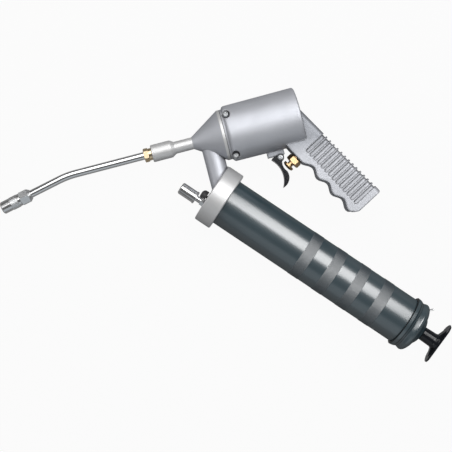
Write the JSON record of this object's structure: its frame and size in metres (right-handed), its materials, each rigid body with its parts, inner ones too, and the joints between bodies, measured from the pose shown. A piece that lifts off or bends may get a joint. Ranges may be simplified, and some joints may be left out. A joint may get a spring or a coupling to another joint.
{
  "type": "pneumatic grease gun",
  "caption": "Air-operated pistol-grip grease gun with inclined air cylinder, cartridge barrel, bent outlet tube and nipple coupler.",
  "frame": {"origin": "centre of the air inlet hole at the foot of the grip, in the plane of symmetry of the castings", "axes": "+X along the grease barrel from the collar to the follower handle, +Z out of the side that faces the viewer, with the gun lying on its other side, +Y from the barrel towards the grip"},
  "size_m": [0.515, 0.306, 0.0726],
  "materials": {
    "cast": "sand-cast, satin",
    "chrome": "polished plate",
    "zinc": "zinc plated",
    "brass": "machined",
    "black_paint": "gloss black",
    "slate_paint": "semi-gloss dark slate",
    "rubber": "moulded",
    "steel": "ground",
    "bush": "moulded",
    "dark_plastic": "moulded"
  },
  "bodies": {
    "gun": {"head_casting": "cast", "grip_casting": "cast", "cylinder_gasket": "rubber", "body_screws": "zinc", "plunger_packing": "rubber", "packing_nut": "brass", "outlet_adapter": "brass", "outlet_tube": "chrome", "coupler_body": "zinc", "coupler_sleeve": "zinc", "coupler_jaws": "steel", "coupler_seal": "rubber", "trigger_screw": "zinc", "valve_body": "brass", "filler_nipple": "chrome", "bleeder_body": "dark_plastic", "barrel_gasket": "rubber", "grease_barrel": "slate_paint", "end_cap": "slate_paint", "rod_bush": "bush", "return_spring": "steel", "check_spring": "steel", "valve_spring": "steel", "follower_spring": "steel"},
    "trigger": {"trigger": "black_paint"},
    "valve": {"valve_stem": "brass", "valve_seal": "rubber"},
    "piston": {"air_piston": "cast", "piston_seal": "rubber", "plunger": "steel", "piston_nut": "zinc"},
    "ball": {"check_ball": "steel"},
    "bleeder": {"bleeder_button": "dark_plastic"},
    "follower": {"follower_cup": "rubber", "follower_plate": "zinc"},
    "rod": {"follower_rod": "chrome", "rod_nut": "zinc", "rod_handle": "black_paint"},
    "latch": {"rod_latch": "zinc"}
  },
  "joints": [
    {"name": "trigger_pull", "type": "hinge", "parent": "gun", "child": "trigger", "pos_m": [-0.11322, -0.0138, 0], "axis": [0, 0, 1], "range_deg": [0, 16], "stiffness_Nm_per_rad": 0.85, "springref_deg": -6.88},
    {"name": "valve_press", "type": "slide", "parent": "gun", "child": "valve", "axis": [0.2292, 0.9734, 0], "range_m": [0, 0.0021], "deforming": ["valve_spring"]},
    {"name": "air_stroke", "type": "slide", "parent": "gun", "child": "piston", "axis": [-0.6646, -0.7472, 0], "range_m": [0, 0.038], "stiffness_N_per_m": 900, "springref_m": -0.01, "deforming": ["return_spring"]},
    {"name": "check_lift", "type": "slide", "parent": "gun", "child": "ball", "axis": [-0.6646, -0.7472, 0], "range_m": [0, 0.0015], "stiffness_N_per_m": 200, "springref_m": -0.002, "deforming": ["check_spring"]},
    {"name": "bleed_press", "type": "slide", "parent": "gun", "child": "bleeder", "axis": [1, 0, 0], "range_m": [0, 0.001], "stiffness_N_per_m": 1500, "springref_m": -0.002},
    {"name": "follower_slide", "type": "slide", "parent": "gun", "child": "follower", "axis": [1, 0, 0], "range_m": [0, 0.19], "stiffness_N_per_m": 120, "springref_m": -0.12, "deforming": ["follower_spring"]},
    {"name": "rod_turn", "type": "hinge", "parent": "follower", "child": "rod", "pos_m": [0.01366, -0.09134, 0], "axis": [1, 0, 0], "continuous": true},
    {"name": "latch_press", "type": "hinge", "parent": "gun", "child": "latch", "pos_m": [0.13136, -0.10434, 0], "axis": [0, 0, 1], "range_deg": [0, 2.5], "stiffness_Nm_per_rad": 2, "springref_deg": -2.86}
  ],
  "couplings": [
    {"joint": "valve_press", "follows": "trigger_pull", "m_per_rad": 0.0072}
  ]
}
